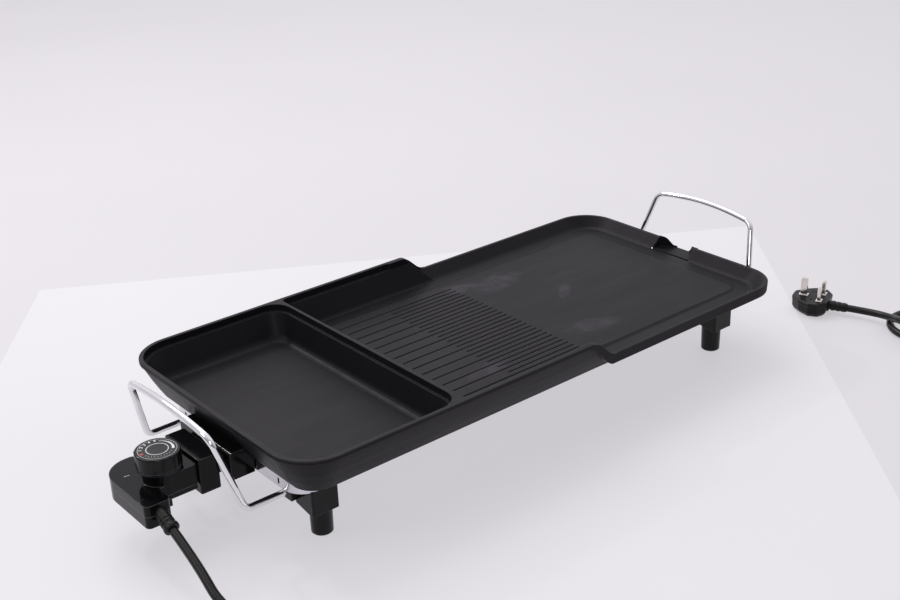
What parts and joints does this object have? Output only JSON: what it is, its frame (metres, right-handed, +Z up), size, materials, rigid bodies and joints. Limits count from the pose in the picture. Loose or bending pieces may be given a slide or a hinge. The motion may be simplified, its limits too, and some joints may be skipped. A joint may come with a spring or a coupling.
{
  "type": "electric table griddle",
  "caption": "Long cast table griddle with a lidless deep pan, flat zone with drain lip, wire handles and plug-in thermostat control.",
  "frame": {"origin": "on the table, under the middle of the box round the griddle with its control and handles", "axes": "+Z up, +X along the plate towards the drain lip, the control plugs in at the -X end, -Y is the front"},
  "size_m": [0.9902, 0.7076, 0.135],
  "materials": {
    "plate_coating": "satin non-stick coating on cast aluminium",
    "element_steel": "dull",
    "plated_steel": "satin",
    "tray_chrome": "bright",
    "wire_chrome": "bright",
    "foot_moulding": "satin heat-proof moulding",
    "socket_moulding": "glossy",
    "case_moulding": "semi-gloss",
    "knob_moulding": "semi-gloss",
    "dial_face": "satin",
    "ceramic": "glazed",
    "contact_brass": "nickel-plated, satin",
    "probe_steel": "polished",
    "lead_sheath": "satin",
    "lead_rubber": "satin",
    "plug_moulding": "satin",
    "carrier_moulding": "satin",
    "fuse_plating": "bright"
  },
  "bodies": {
    "griddle": {"griddle_plate": "plate_coating", "heating_tube": "element_steel", "terminal_pin_front": "plated_steel", "terminal_pin_rear": "plated_steel", "reflector_tray": "tray_chrome", "foot_front_left": "foot_moulding", "foot_front_right": "foot_moulding", "foot_rear_left": "foot_moulding", "foot_rear_right": "foot_moulding", "foot_screws": "plated_steel", "handle_left": "wire_chrome", "handle_right": "wire_chrome", "socket_housing": "socket_moulding", "socket_screws": "plated_steel", "terminal_beads": "ceramic"},
    "control": {"control_case_lower": "case_moulding", "control_case_upper": "case_moulding", "control_head": "case_moulding", "contact_sleeves": "contact_brass", "probe_rod": "probe_steel", "probe_bracket": "plated_steel", "thermostat_stack": "ceramic", "contact_blades": "contact_brass", "shaft_bush": "contact_brass", "case_screws": "plated_steel", "cord_boot": "lead_rubber", "cord_run": "lead_sheath", "cord_coil": "lead_sheath", "cord_tie": "lead_rubber", "cord_tail": "lead_sheath", "plug_back": "plug_moulding", "plug_face": "plug_moulding", "plug_pin_earth": "contact_brass", "plug_pin_live": "contact_brass", "plug_pin_neutral": "contact_brass", "plug_boot": "lead_rubber"},
    "knob": {"knob": "knob_moulding", "knob_shaft": "plated_steel", "knob_dial": "dial_face"},
    "fuse": {"fuse_carrier": "carrier_moulding", "fuse_barrel": "ceramic", "fuse_caps": "fuse_plating"}
  },
  "joints": [
    {"name": "control_slide", "type": "slide", "parent": "griddle", "child": "control", "axis": [-1, 0, 0], "range_m": [0, 0.095]},
    {"name": "knob_turn", "type": "hinge", "parent": "control", "child": "knob", "pos_m": [-0.37575, -0.014, 0.088], "axis": [0, 0, 1], "range_deg": [0, 270]},
    {"name": "fuse_slide", "type": "slide", "parent": "control", "child": "fuse", "axis": [0, 0, 1], "range_m": [0, 0.009]}
  ]
}
